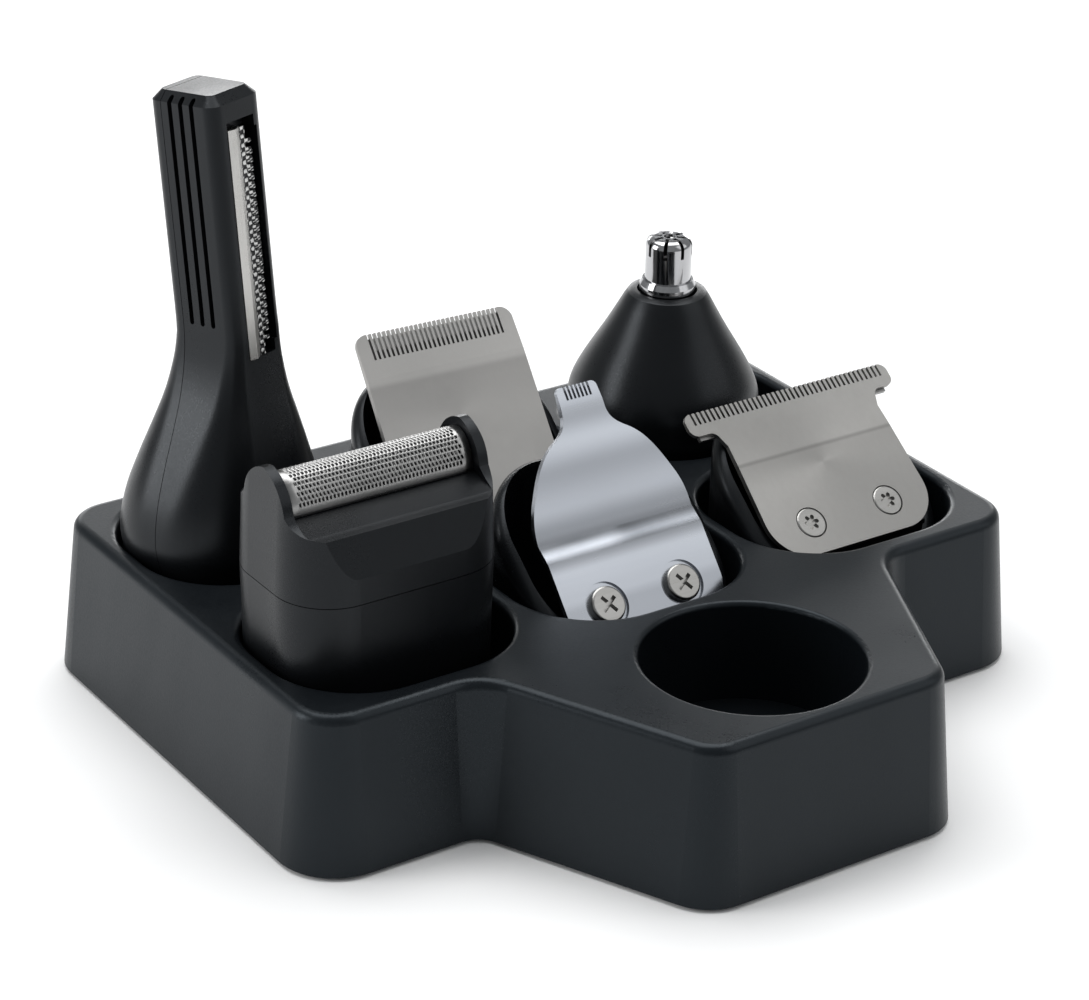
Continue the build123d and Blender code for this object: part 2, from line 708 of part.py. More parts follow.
with BuildPart() as foil_base:
    with BuildSketch(foil_base_plane) as foot:
        RectangleRounded(foil_w - 1.0, foil_d - 1.0, foil_corner)
    with BuildSketch(foil_base_plane.offset(foil_seam)):
        RectangleRounded(foil_w, foil_d, foil_corner)
    loft(ruled=True)
    with BuildSketch(foil_base_plane.offset(2.4)):
        RectangleRounded(foil_w - 5.4, foil_d - 5.4, foil_corner - 2.2)
    extrude(amount=foil_seam, mode=Mode.SUBTRACT)
    with BuildSketch(foil_base_plane):
        Circle(recess_r - 1)
    extrude(amount=recess_depth, mode=Mode.SUBTRACT)
    with BuildSketch(foil_base_plane):
        RectangleRounded(8, 6, 1)
    extrude(amount=4, mode=Mode.SUBTRACT)
    # two rails that carry the drive carrier
    with BuildSketch(foil_base_plane.offset(2.0)):
        with GridLocations(0, 17, 1, 2):
            Rectangle(foil_w - 8, 5)
    extrude(amount=foil_seam - 7)
    fillet(foil_base.faces().filter_by(Plane.XY).sort_by(Axis.Z)[0].outer_wire().edges(), 1.5)
foil_base.part.label = "foil_base"

# the scoop between the cheeks, down to the ledge in front of and behind the foil
with BuildPart() as foil_scoop:
    with BuildSketch(foil_side):
        with BuildLine():
            Polyline((0, foil_spring_line - 0.6), (-foil_half - 0.1, foil_spring_line - 0.6),
                     (-foil_lip_y, foil_lip - 0.05), (-foil_d / 2 - 1, foil_lip - 0.05),
                     (-foil_d / 2 - 1, 70), (0, 70))
            mirror(about=Plane.YZ)
        make_face()
    extrude(amount=foil_length / 2 + 0.15, both=True)
    with BuildSketch(foil_base_plane.offset(foil_seam)):
        RectangleRounded(foil_length + 0.3, 2 * foil_lip_y + 1.2, foil_scoop_round)
    extrude(amount=40, mode=Mode.INTERSECT)

with BuildPart() as foil_frame:
    with BuildSketch(foil_base_plane.offset(foil_seam + 0.15)):
        RectangleRounded(foil_w, foil_d, foil_corner)
    extrude(amount=30, taper=foil_taper)
    with BuildSketch(foil_side):
        with BuildLine():
            skirt = Polyline((0, foil_seam), (-foil_d / 2, foil_seam), (-foil_d / 2, foil_seam + 4),
                             (-foil_lip_y, foil_lip))
            ThreePointArc(skirt @ 1, (-foil_half - 4.1, foil_lip + 0.9),
                          (-foil_half - 1.8, foil_spring_line + 1.0))
            ThreePointArc((-foil_half - 1.8, foil_spring_line + 1.0),
                          (-foil_half + 0.1, foil_spring_line + foil_rise * 0.85),
                          (0, foil_spring_line + foil_rise + 1.6))
            mirror(about=Plane.YZ)
        make_face()
    extrude(amount=foil_w, both=True, mode=Mode.INTERSECT)
    add(foil_scoop.part, mode=Mode.SUBTRACT)
    # room for the cutter and its carrier
    with BuildSketch(foil_base_plane.offset(foil_seam - 1)):
        Rectangle(foil_length - 0.8, 2 * foil_half - 0.7)
    extrude(amount=30, mode=Mode.SUBTRACT)
    with BuildSketch(foil_base_plane.offset(foil_seam - 1)):
        RectangleRounded(foil_w - 5, foil_d - 9, foil_corner - 4)
    extrude(amount=5, mode=Mode.SUBTRACT)
    # tongue that plugs into the base
    with BuildSketch(foil_base_plane.offset(foil_seam - 2.5)):
        RectangleRounded(foil_w - 5.8, foil_d - 5.8, foil_corner - 2.4)
        RectangleRounded(foil_w - 8.6, foil_d - 9.4, foil_corner - 4.2, mode=Mode.SUBTRACT)
    extrude(amount=5)
foil_frame.part.label = "foil_frame"

with BuildPart() as foil_sheet:
    with BuildSketch(foil_side):
        with Locations((0, foil_spring_line)):
            Ellipse(foil_half, foil_rise)
            Ellipse(foil_inner, foil_rise - foil_thick, mode=Mode.SUBTRACT)
            Rectangle(30, 30, align=(Align.CENTER, Align.MAX), mode=Mode.SUBTRACT)
        for side in (-1, 1):
            with Locations((side * (foil_half - foil_thick / 2), foil_spring_line - 0.25)):
                Rectangle(foil_thick, 0.6)
    extrude(amount=foil_length / 2, both=True)
foil_sheet.part.label = "foil_sheet"

with BuildPart() as foil_cutter:
    with BuildSketch(foil_side):
        with Locations((0, foil_spring_line)):
            Ellipse(foil_cutter_half, foil_rise - foil_thick - 0.3)
            Ellipse(foil_cutter_half - 1.5, foil_rise - 2.2, mode=Mode.SUBTRACT)
            Rectangle(30, 30, align=(Align.CENTER, Align.MAX), mode=Mode.SUBTRACT)
    extrude(amount=foil_length / 2 - 2.2, both=True)
    with BuildSketch(foil_base_plane.offset(foil_spring_line + 0.5)):
        with GridLocations(1.5, 0, 20, 1):
            Rectangle(1.0, 12)
    extrude(amount=10, mode=Mode.SUBTRACT)
    with BuildSketch(foil_base_plane.offset(foil_spring_line - 2.5)):
        Rectangle(foil_length - 4.4, 2 * foil_cutter_half)
    extrude(amount=3.1)
    with BuildSketch(foil_base_plane.offset(foil_spring_line - 2.5)):
        Circle(2.6)
    extrude(amount=2, mode=Mode.SUBTRACT)
foil_cutter.part.label = "foil_cutter"

with BuildPart() as foil_carrier:
    with BuildSketch(foil_base_plane.offset(foil_seam - 5 + slide_gap)):
        RectangleRounded(foil_w - 13, 16, 2)
    extrude(amount=4.0)
    with BuildSketch(foil_base_plane.offset(foil_seam - 2)):
        Circle(1.3)
    extrude(amount=foil_spring_line - 2.5 - foil_seam + 3.2)
    with BuildSketch(foil_base_plane.offset(foil_seam - 5 + slide_gap)):
        Rectangle(9, 7)
    extrude(amount=-12)
    with BuildSketch(foil_base_plane.offset(foil_seam - 5 + slide_gap - 12)):
        SlotOverall(6, 3.2, rotation=90)
    extrude(amount=8, mode=Mode.SUBTRACT)
foil_carrier.part.label = "foil_carrier"

spring_low = foil_seam - 1 + slide_gap
spring_high = foil_spring_line - 0.7
spring_turns = 4
spring_rise = spring_high - spring_low - 0.5
with BuildPart() as foil_spring:
    with BuildLine(foil_base_plane.offset(spring_low + 0.25)) as coil:
        Helix(pitch=spring_rise / spring_turns, height=spring_rise, radius=1.9)
    with BuildSketch(Plane(coil.line @ 0, z_dir=coil.line % 0)):
        RegularPolygon(0.24, 6)
    sweep(path=coil.line)
foil_spring.part.label = "foil_spring"

# ---------------------------------------------------------------- nose trimmer head
nose_plane = head_plane(column_pitch + nose_shift[0], row_back_y + nose_shift[1])
nose_side = Plane(nose_plane.origin, x_dir=(1, 0, 0), z_dir=(0, -1, 0))
nose_tube_foot = nose_cone_top - 3.0
nose_shaft_r = 1.2

with BuildPart() as nose_housing:
    with BuildSketch(nose_side):
        with BuildLine():
            foot = Polyline((0, 0), (nose_base_r - 2, 0), (nose_base_r - 0.6, 1.2), (nose_base_r, 12),
                            (nose_base_r, 22))
            Spline(foot @ 1, (nose_base_r - 1.0, nose_cone_top - 16), (nose_top_r + 5.0, nose_cone_top - 8),
                   (nose_top_r + 0.8, nose_cone_top - 1.6), tangents=[(0, 1), (-0.62, 1)])
            Polyline((nose_top_r + 0.8, nose_cone_top - 1.6), (nose_top_r, nose_cone_top - 0.4),
                     (nose_top_r - 0.8, nose_cone_top), (nose_tube_r + 1.3, nose_cone_top),
                     (nose_tube_r + 1.0, nose_tube_foot), (nose_shaft_r + 1.6, nose_tube_foot),
                     (nose_shaft_r + 1.6, nose_tube_foot - 6), (0, nose_tube_foot - 6), (0, 0))
        make_face()
    revolve(axis=Axis(nose_plane.origin, (0, 0, 1)))
    with BuildSketch(nose_side):
        with BuildLine():
            Polyline((0, -1), (recess_r - 3, -1), (recess_r - 3, 10), (6, 24), (0, 24), close=True)
        make_face()
    revolve(axis=Axis(nose_plane.origin, (0, 0, 1)), mode=Mode.SUBTRACT)
    with BuildSketch(nose_plane.offset(20)):
        Circle(nose_shaft_r + 1.6)
    extrude(amount=30, mode=Mode.SUBTRACT)
nose_housing.part.label = "nose_housing"

with BuildPart() as nose_collar:
    with BuildSketch(nose_side):
        with BuildLine():
            Polyline((nose_tube_r, nose_tube_foot), (nose_tube_r + 0.9, nose_tube_foot),
                     (nose_tube_r + 0.9, nose_cone_top + 1.2), (nose_tube_r + 0.4, nose_cone_top + 2.2),
                     (nose_tube_r, nose_cone_top + 2.2), close=True)
        make_face()
    revolve(axis=Axis(nose_plane.origin, (0, 0, 1)))
nose_collar.part.label = "nose_collar"

with BuildPart() as nose_guard:
    with BuildSketch(nose_side):
        with BuildLine():
            Polyline((nose_tube_r - nose_tube_wall, nose_tube_foot), (nose_tube_r, nose_tube_foot),
                     (nose_tube_r, nose_tip_top - 1.4))
            ThreePointArc((nose_tube_r, nose_tip_top - 1.4), (nose_tube_r - 0.5, nose_tip_top - 0.45),
                          (nose_tube_r - 1.6, nose_tip_top))
            Polyline((nose_tube_r - 1.6, nose_tip_top), (1.0, nose_tip_top), (1.0, nose_tip_top - 0.5),
                     (nose_tube_r - 1.7, nose_tip_top - 0.5))
            ThreePointArc((nose_tube_r - 1.7, nose_tip_top - 0.5), (nose_tube_r - 0.8, nose_tip_top - 0.75),
                          (nose_tube_r - nose_tube_wall, nose_tip_top - 1.7))
            Line((nose_tube_r - nose_tube_wall, nose_tip_top - 1.7),
                 (nose_tube_r - nose_tube_wall, nose_tube_foot))
        make_face()
    revolve(axis=Axis(nose_plane.origin, (0, 0, 1)))
    with BuildSketch(nose_plane.offset(nose_tip_top - 3.2)):
        with PolarLocations(3.4, nose_slots):
            Rectangle(4, 0.7)
    extrude(amount=4, mode=Mode.SUBTRACT)
nose_guard.part.label = "nose_guard"

with BuildPart() as nose_bush:
    with BuildSketch(nose_plane.offset(nose_tube_foot - 6)):
        Circle(nose_shaft_r + 1.6)
        Circle(nose_shaft_r + 0.05, mode=Mode.SUBTRACT)
    extrude(amount=6)
nose_bush.part.label = "nose_bush"

with BuildPart() as nose_cutter:
    with BuildSketch(nose_plane.offset(15)):
        Circle(nose_shaft_r)
    extrude(amount=nose_tip_top - 15 - 7)
    with BuildSketch(nose_plane.offset(nose_tube_foot + 0.4)):
        Circle(2.4)
    extrude(amount=3)
    with BuildSketch(nose_side) as wing:
        with BuildLine():
            reach = nose_tube_r - nose_tube_wall - 0.2
            Polyline((-reach, nose_tip_top - 9), (reach, nose_tip_top - 9), (reach, nose_tip_top - 2.6),
                     (reach - 1.3, nose_tip_top - 0.9), (-reach + 1.3, nose_tip_top - 0.9),
                     (-reach, nose_tip_top - 2.6), close=True)
        make_face()
        with Locations((0, nose_tip_top - 2.4)):
            Rectangle(3.6, 3.2, mode=Mode.SUBTRACT)
    extrude(amount=0.4, both=True)
nose_cutter.part.label = "nose_cutter"

with BuildPart() as nose_coupling:
    with BuildSketch(nose_plane.offset(9)):
        Circle(4.2)
        Circle(nose_shaft_r, mode=Mode.SUBTRACT)
    extrude(amount=8)
    with BuildSketch(nose_plane.offset(9)):
        Rectangle(9, 1.8)
        Circle(2.2)
    extrude(amount=4, mode=Mode.SUBTRACT)
nose_coupling.part.label = "nose_coupling"

# ---------------------------------------------------------------- tall precision head
tall_foot = head_plane(-column_pitch + tall_shift[0], row_back_y + tall_shift[1], tall_turn)
tall_up = (Vector(0, 0, 1) + tall_foot.y_dir * neck_lean).normalized()
neck_root = tall_foot.origin + Vector(0, 0, neck_foot) - tall_foot.y_dir * neck_ahead
tall_plane = Plane(neck_root - tall_up * neck_foot, x_dir=tall_foot.x_dir, z_dir=tall_up)
tall_side = Plane(tall_plane.origin, x_dir=tall_plane.y_dir, z_dir=tall_plane.x_dir)
tall_front = Plane(tall_plane.origin, x_dir=tall_plane.x_dir, z_dir=-tall_plane.y_dir)


def tall_sections():
    """Plane and share of the way from neck to base, for each section of the flare."""
    ahead = tall_foot.y_dir * -neck_ahead
    return [
        (tall_foot.offset(tall_full_width), 1.0),
        (tall_foot.offset(27.5), 0.965),
        (Plane(tall_foot.origin + ahead * 0.6, x_dir=tall_foot.x_dir).offset(34.6), 0.79),
        (Plane(tall_foot.origin + ahead * 0.8, x_dir=tall_foot.x_dir).offset(40.3), 0.52),
        (Plane(tall_foot.origin + ahead * 0.95, x_dir=tall_foot.x_dir).offset(46.9), 0.27),
        (Plane(tall_foot.origin + ahead, x_dir=tall_foot.x_dir).offset(52.5), 0.09),
        (tall_plane.offset(neck_foot), 0.02),
        (tall_plane.offset(neck_foot + 5), 0.0),
    ]


def tall_section(share, inset=0.0):
    """Rounded section between the neck's (share 0) and the base's (share 1)."""
    with BuildSketch() as section:
        RectangleRounded(neck_w + share * (tall_base_w - neck_w) - 2 * inset,
                         neck_d + share * (tall_base_d - neck_d) - 2 * inset,
                         neck_round + share * (tall_base_round - neck_round) - inset / 2)
    return section.sketch


with BuildPart() as tall_body:
    with BuildSketch(tall_foot):
        add(tall_section(1.0, 1.0))
    with BuildSketch(tall_foot.offset(14)):
        add(tall_section(1.0))
    loft(ruled=True)
    with BuildSketch(tall_foot.offset(14)):
        add(tall_section(1.0))
    extrude(amount=tall_full_width - 14)
    for place, share in tall_sections():
        with BuildSketch(place):
            add(tall_section(share))
    loft()
    with BuildSketch(tall_plane.offset(neck_foot + 5)):
        add(tall_section(0.0))
    extrude(amount=neck_top - neck_foot - 5)
    top_edges = tall_body.faces().sort_by(Axis.Z)[-1].edges()
    chamfer(top_edges, 1.6)
    # channel for the drive link, open to the coupling recess below
    with BuildSketch(tall_plane.offset(8)):
        RectangleRounded(channel_w, channel_d, 1)
    extrude(amount=neck_top - 12, mode=Mode.SUBTRACT)
    with BuildSketch(tall_foot.offset(-1)):
        RectangleRounded(tall_base_w - 10, tall_base_d - 9, 7)
    extrude(amount=18, mode=Mode.SUBTRACT)
    # window recess on the front, with a lane through to the channel for the cutter
    with BuildSketch(tall_front.offset(neck_d / 2 + 1)):
        with Locations((window_x, (window_low + window_high) / 2)):
            Rectangle(window_w, window_high - window_low)
    extrude(amount=-window_depth - 1, mode=Mode.SUBTRACT)
    with BuildSketch(tall_front.offset(neck_d / 2)):
        with Locations((lane_x, (window_low + window_high) / 2)):
            Rectangle(lane_w, window_high - window_low - 4)
    extrude(amount=-neck_d / 2, mode=Mode.SUBTRACT)
    # three slots that let the clippings out, down the left side
    with BuildSketch(tall_side.offset(-neck_w / 2 - 1)):
        for place in (2.2, -0.2, -2.6):
            with Locations((place, (slot_low + slot_high) / 2)):
                SlotOverall(slot_high - slot_low, 0.95, rotation=90)
    extrude(amount=neck_w / 2 - channel_w / 2 + 1.5, mode=Mode.SUBTRACT)

seam_plane = Plane(tall_plane.origin + tall_plane.y_dir * seam_back, x_dir=tall_plane.x_dir,
                   z_dir=tall_plane.y_dir)
with BuildPart() as precision_front_shell:
    add(tall_body.part)
    split(bisect_by=seam_plane.offset(-seam_gap / 2), keep=Keep.BOTTOM)
precision_front_shell.part.label = "precision_front_shell"

with BuildPart() as precision_rear_shell:
    add(tall_body.part)
    split(bisect_by=seam_plane.offset(seam_gap / 2), keep=Keep.TOP)
precision_rear_shell.part.label = "precision_rear_shell"

strip_x = window_x - window_w / 2 + strip_w / 2 + 0.1
strip_high = window_high - 1.3
strip_plane = Plane(tall_plane.origin, x_dir=tall_plane.x_dir, z_dir=tall_up)
with BuildPart() as precision_guard_strip:
    with BuildSketch(strip_plane.offset(window_low + 0.1)):
        with BuildLine():
            face = -neck_d / 2
            Polyline((strip_x - strip_w / 2, face + window_depth), (strip_x - strip_w / 2, face - 0.1),
                     (strip_x, face - 0.55), (strip_x + strip_w / 2, face + 0.1),
                     (strip_x + strip_w / 2, face + window_depth), close=True)
        make_face()
    extrude(amount=strip_high - window_low - 0.1)
precision_guard_strip.part.label = "precision_guard_strip"

comb_low = strip_x + strip_w / 2 + 0.1
comb_count = int((strip_high - window_low - 3) / comb_pitch)
with BuildPart() as precision_comb:
    with BuildSketch(tall_front.offset(neck_d / 2 - 0.1)):
        with Locations((comb_low + 0.6, (window_low + strip_high) / 2)):
            Rectangle(1.2, strip_high - window_low - 0.2)
        with Locations((comb_low + 1.2, (window_low + strip_high) / 2)):
            with GridLocations(0, comb_pitch, 1, comb_count):
                RectangleRounded(2.6, 0.75, 0.3)
    extrude(amount=-0.5)
    with BuildSketch(tall_front.offset(neck_d / 2 - 0.6)):
        with Locations((comb_low + 0.35, (window_low + strip_high) / 2)):
            Rectangle(0.7, strip_high - window_low - 0.2)
    extrude(amount=-window_depth + 0.6)
precision_comb.part.label = "precision_comb"

with BuildPart() as precision_cutter:
    with BuildSketch(tall_front.offset(neck_d / 2 - 0.6 - blade_gap)):
        with Locations((comb_low + 1.2, (window_low + strip_high) / 2)):
            Rectangle(0.6, strip_high - window_low - 4)
        with Locations((comb_low + 2.2, (window_low + strip_high) / 2)):
            with GridLocations(0, comb_pitch, 1, comb_count - 3):
                RectangleRounded(2.2, 0.75, 0.3)
    extrude(amount=-0.6)
    with BuildSketch(tall_front.offset(neck_d / 2 - 1.2)):
        with Locations((lane_x, (window_low + strip_high) / 2)):
            Rectangle(lane_w - 2 * slide_gap, 12)
    extrude(amount=-neck_d / 2 + 2.6)
precision_cutter.part.label = "precision_cutter"

with BuildPart() as precision_drive_link:
    with BuildSketch(tall_plane.offset(9)):
        with Locations((0.6, -0.4)):
            Rectangle(3.4, 2.0)
    extrude(amount=(window_low + strip_high) / 2 + 6 - 9)
    with BuildSketch(tall_foot.offset(8)):
        with Locations((0.6, -2.9)):
            Rectangle(3.4, 9.8)
    extrude(amount=2.4)
    with BuildSketch(tall_foot.offset(4)):
        RectangleRounded(9, 8, 1.5)
        SlotOverall(6, 3.2, rotation=90, mode=Mode.SUBTRACT)
    extrude(amount=4.5)
precision_drive_link.part.label = "precision_drive_link"

with BuildPart() as precision_spring:
    with BuildSketch(tall_side):
        with BuildLine():
            ThreePointArc((channel_d / 2 - 0.3, 60), (1.15, 72), (channel_d / 2 - 0.3, 84))
        trace(line_width=0.25)
    extrude(amount=1.2, both=True)
precision_spring.part.label = "precision_spring"

pieces = (
    stand_shell, stand_base_cover, stand_feet, stand_screws,
    clipper_housing, clipper_fixed_blade, clipper_moving_blade, clipper_cam_follower,
    clipper_blade_spring, clipper_blade_screws,
    t_housing, t_fixed_blade, t_moving_blade, t_cam_follower, t_blade_spring, t_blade_screws,
    detail_housing, detail_fixed_blade, detail_moving_blade, detail_cam_follower,
    detail_blade_spring, detail_blade_screws,
    foil_base, foil_frame, foil_sheet, foil_cutter, foil_carrier, foil_spring,
    nose_housing, nose_collar, nose_guard, nose_bush, nose_cutter, nose_coupling,
    precision_front_shell, precision_rear_shell, precision_guard_strip, precision_comb,
    precision_cutter, precision_drive_link, precision_spring,
)
for piece in pieces:
    export_step(piece.part, f"parts/{piece.part.label}.step")
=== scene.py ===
import math

import bmesh
import bpy
from mathutils import Matrix, Vector


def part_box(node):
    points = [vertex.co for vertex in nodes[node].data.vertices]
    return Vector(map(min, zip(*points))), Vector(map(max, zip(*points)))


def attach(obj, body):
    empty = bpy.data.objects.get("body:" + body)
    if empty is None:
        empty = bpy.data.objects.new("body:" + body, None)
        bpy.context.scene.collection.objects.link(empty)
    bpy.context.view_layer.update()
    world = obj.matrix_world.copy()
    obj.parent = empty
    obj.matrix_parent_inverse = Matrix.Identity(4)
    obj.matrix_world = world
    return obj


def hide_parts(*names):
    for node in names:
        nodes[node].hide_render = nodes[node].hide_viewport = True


# Attachment stand of a beard trimmer with its six cutting heads, on a pale studio floor.
# Metres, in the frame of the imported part. Profiles of the housings are listed in millimetres.

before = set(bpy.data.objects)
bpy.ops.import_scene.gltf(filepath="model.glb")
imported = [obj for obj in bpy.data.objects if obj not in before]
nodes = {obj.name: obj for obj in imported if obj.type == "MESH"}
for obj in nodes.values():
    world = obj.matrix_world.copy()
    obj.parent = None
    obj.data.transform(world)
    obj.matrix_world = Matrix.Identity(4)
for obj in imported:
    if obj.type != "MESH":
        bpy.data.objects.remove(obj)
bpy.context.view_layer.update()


def mm(value):
    return value / 1000


# ---------------------------------------------------------------- places in the frame
SOCKET_FLOOR = 0.010

# the tall head stands turned in its socket, and its neck leans back
TALL_AT = Vector((-0.0504, 0.0438, SOCKET_FLOOR))
TALL_TURN = math.radians(19)
NECK_LEAN = 0.105       # backwards, per unit of height
NECK_FOOT = 57.0        # height of the neck's foot above the socket floor, mm
NECK_AHEAD = 0.0015
upright = Vector((0, 0, 1))
across = Vector((math.cos(TALL_TURN), math.sin(TALL_TURN), 0))
back = Vector((-across.y, across.x, 0))
neck_up = (upright + back * NECK_LEAN).normalized()
neck_back = neck_up.cross(across)
neck_zero = TALL_AT + upright * mm(NECK_FOOT) - back * NECK_AHEAD - neck_up * mm(NECK_FOOT)


# ---------------------------------------------------------------- procedural materials
class Shader:
    """A material's node tree, built up one step at a time."""

    def __init__(self, name):
        self.mat = bpy.data.materials.new(name)
        self.mat.use_nodes = True
        self.tree = self.mat.node_tree
        self.bsdf = self.tree.nodes["Principled BSDF"]
        self.place = self.tree.nodes.new("ShaderNodeTexCoord").outputs["Object"]

    def add(self, kind, **values):
        node = self.tree.nodes.new(kind)
        for key, value in values.items():
            setattr(node, key, value)
        return node

    def link(self, a, b):
        self.tree.links.new(a, b)

    def noise(self, scale, detail=3.0, stretch=(1, 1, 1), rough=0.5):
        """Noise in object space; a small stretch draws it out along an axis, for grinding marks."""
        mapping = self.add("ShaderNodeMapping")
        mapping.inputs["Scale"].default_value = stretch
        self.link(self.place, mapping.inputs["Vector"])
        noise = self.add("ShaderNodeTexNoise")
        noise.inputs["Scale"].default_value = scale
        noise.inputs["Detail"].default_value = detail
        noise.inputs["Roughness"].default_value = rough
        self.link(mapping.outputs[0], noise.inputs["Vector"])
        return noise.outputs["Fac"]

    def spread(self, value, low, high, start=0.3, end=0.7):
        """Maps start..end of a value onto low..high."""
        node = self.add("ShaderNodeMapRange")
        node.inputs["From Min"].default_value = start
        node.inputs["From Max"].default_value = end
        node.inputs["To Min"].default_value = low
        node.inputs["To Max"].default_value = high
        self.link(value, node.inputs["Value"])
        return node.outputs["Result"]

    def tint(self, value, dark, light, start=0.3, end=0.7):
        """Maps start..end of a value onto a dark and a light colour."""
        ramp = self.add("ShaderNodeValToRGB")
        ramp.color_ramp.elements[0].position = start
        ramp.color_ramp.elements[0].color = (*dark, 1)
        ramp.color_ramp.elements[1].position = end
        ramp.color_ramp.elements[1].color = (*light, 1)
        self.link(value, ramp.inputs["Fac"])
        return ramp.outputs["Color"]

    def ramp(self, value, stops):
        """Grey ramp with a list of (place, brightness) stops."""
        node = self.add("ShaderNodeValToRGB")
        node.color_ramp.interpolation = "EASE"
        elements = node.color_ramp.elements
        while len(elements) < len(stops):
            elements.new(0.5)
        for element, (at, grey) in zip(elements, stops):
            element.position = at
            element.color = (grey, grey, grey, 1)
        self.link(value, node.inputs["Fac"])
        return node.outputs["Color"]

    def along(self, origin, direction, length):
        """Distance from origin along a direction, as a share of length."""
        shift = self.add("ShaderNodeVectorMath", operation="SUBTRACT")
        self.link(self.place, shift.inputs[0])
        shift.inputs[1].default_value = origin
        dot = self.add("ShaderNodeVectorMath", operation="DOT_PRODUCT")
        self.link(shift.outputs["Vector"], dot.inputs[0])
        dot.inputs[1].default_value = Vector(direction).normalized() / length
        return dot.outputs["Value"]

    def shade(self, colour, factor):
        mix = self.add("ShaderNodeMix", data_type="RGBA", blend_type="MULTIPLY")
        mix.inputs["Factor"].default_value = 1.0
        self.link(colour, mix.inputs["A"])
        self.link(factor, mix.inputs["B"])
        return mix.outputs["Result"]

    def math(self, operation, a, b):
        node = self.add("ShaderNodeMath", operation=operation)
        for socket, value in zip(node.inputs, (a, b)):
            if isinstance(value, (int, float)):
                socket.default_value = value
            else:
                self.link(value, socket)
        return node.outputs[0]

    def bump(self, height, strength, distance):
        node = self.add("ShaderNodeBump")
        node.inputs["Strength"].default_value = strength
        node.inputs["Distance"].default_value = distance
        self.link(height, node.inputs["Height"])
        self.link(node.outputs[0], self.bsdf.inputs["Normal"])


GRAIN_DEPTH = 0.00008       # moulded grain of the plastic
MARK_DEPTH = 0.00004        # grinding marks of the steel
MARK_STRETCH = 0.04         # noise scale along a mark, against 1 across it


def plastic(name, dark, light, rough, grain, bump, specular=0.3, sheen=(1, 1, 1)):
    """Moulded plastic: a cloudy colour, and a roughness with smears and fine grain."""
    s = Shader(name)
    cloud = s.noise(35, 4)
    fine = s.noise(grain, 2)
    s.link(s.tint(cloud, dark, light), s.bsdf.inputs["Base Color"])
    smear = s.spread(s.noise(60, 5, (1, 1, 0.4)), -0.05, 0.06)
    grit = s.spread(fine, -0.04, 0.05)
    s.link(s.math("ADD", s.math("ADD", smear, grit), rough), s.bsdf.inputs["Roughness"])
    s.bsdf.inputs["Specular IOR Level"].default_value = specular
    s.bsdf.inputs["Specular Tint"].default_value = (*sheen, 1)
    s.bump(fine, bump, GRAIN_DEPTH)
    return s.mat


def steel(name, dark, light, rough, along, brush=0.25, grain=900, anisotropic=0.3, painted_bands=None):
    """Ground steel: fine marks along one axis and clouds of roughness.

    Its last argument is (origin, direction, length, stops): painted shade and highlight bands,
    multiplied into the colour where a plate darkens and lightens along its bends.
    """
    s = Shader(name)
    stretch = tuple(MARK_STRETCH if axis == along else 1.0 for axis in "xyz")
    marks = s.noise(grain, 3, stretch, 0.6)
    cloud = s.noise(70, 4)
    mixed = s.math("ADD", s.math("MULTIPLY", marks, 0.5), s.math("MULTIPLY", cloud, 0.5))
    colour = s.tint(mixed, dark, light, 0.35, 0.65)
    # painted shade and highlight bands along the plate's bends, multiplied into its colour
    if painted_bands:
        origin, direction, length, stops = painted_bands
        colour = s.shade(colour, s.ramp(s.along(origin, direction, length), stops))
    s.link(colour, s.bsdf.inputs["Base Color"])
    s.bsdf.inputs["Metallic"].default_value = 1.0
    s.bsdf.inputs["Anisotropic"].default_value = anisotropic
    wobble = s.spread(mixed, -0.05, 0.06)
    s.link(s.math("ADD", wobble, rough), s.bsdf.inputs["Roughness"])
    s.bump(marks, brush, MARK_DEPTH)
    return s.mat


# painted shade and highlight bands along each plate's bends: foot of the plate, its slope, its
# length and (share of length, brightness)
T_PAINTED_BANDS = ((0.047, -0.0091, 0.0288), (0, 0.7826, 0.6225), 0.028, [
    (0.0, 0.97), (0.30, 0.98), (0.470, 0.90), (0.490, 0.70), (0.515, 1.0), (0.75, 0.96),
    (1.0, 0.99)])
CLIPPER_PAINTED_BANDS = ((-0.0008, 0.0354, 0.0263), (0.0322, 0.6148, 0.788), 0.034, [
    (0.0, 0.96), (0.35, 0.90), (0.60, 0.80), (0.66, 0.78), (0.70, 1.0), (0.85, 1.0), (1.0, 0.94)])
DETAIL_PAINTED_BANDS = ((0, -0.0122, 0.0265), (0, 0.588, 0.809), 0.040, [
    (0.0, 0.66), (0.06, 0.84), (0.17, 0.92), (0.235, 0.50), (0.265, 1.1), (0.31, 0.34),
    (0.36, 0.50), (0.46, 0.80), (0.60, 0.62), (0.72, 0.98), (0.82, 0.66), (0.92, 0.95)])

stand_black = plastic("stand_black", (0.0036, 0.0048, 0.0062), (0.0052, 0.0066, 0.0082), 0.33,
                      grain=2600, bump=0.16, specular=0.27, sheen=(0.80, 0.91, 1.0))
head_black = plastic("head_black", (0.0030, 0.0034, 0.0042), (0.0042, 0.0046, 0.0054), 0.32,
                     grain=3200, bump=0.14, specular=0.27, sheen=(0.88, 0.94, 1.0))
acetal = plastic("acetal", (0.52, 0.51, 0.47), (0.62, 0.61, 0.57), 0.42, grain=2400, bump=0.1,
                 specular=0.4)
rubber = plastic("rubber", (0.018, 0.018, 0.018), (0.028, 0.028, 0.027), 0.75, grain=1800,
                 bump=0.4, specular=0.2)
t_steel = steel("t_steel", (0.315, 0.309, 0.298), (0.34, 0.334, 0.323), 0.40, "y", brush=0.10,
                painted_bands=T_PAINTED_BANDS)
clipper_steel = steel("clipper_steel", (0.345, 0.338, 0.328), (0.37, 0.363, 0.353), 0.40, "y",
                      brush=0.10, painted_bands=CLIPPER_PAINTED_BANDS)
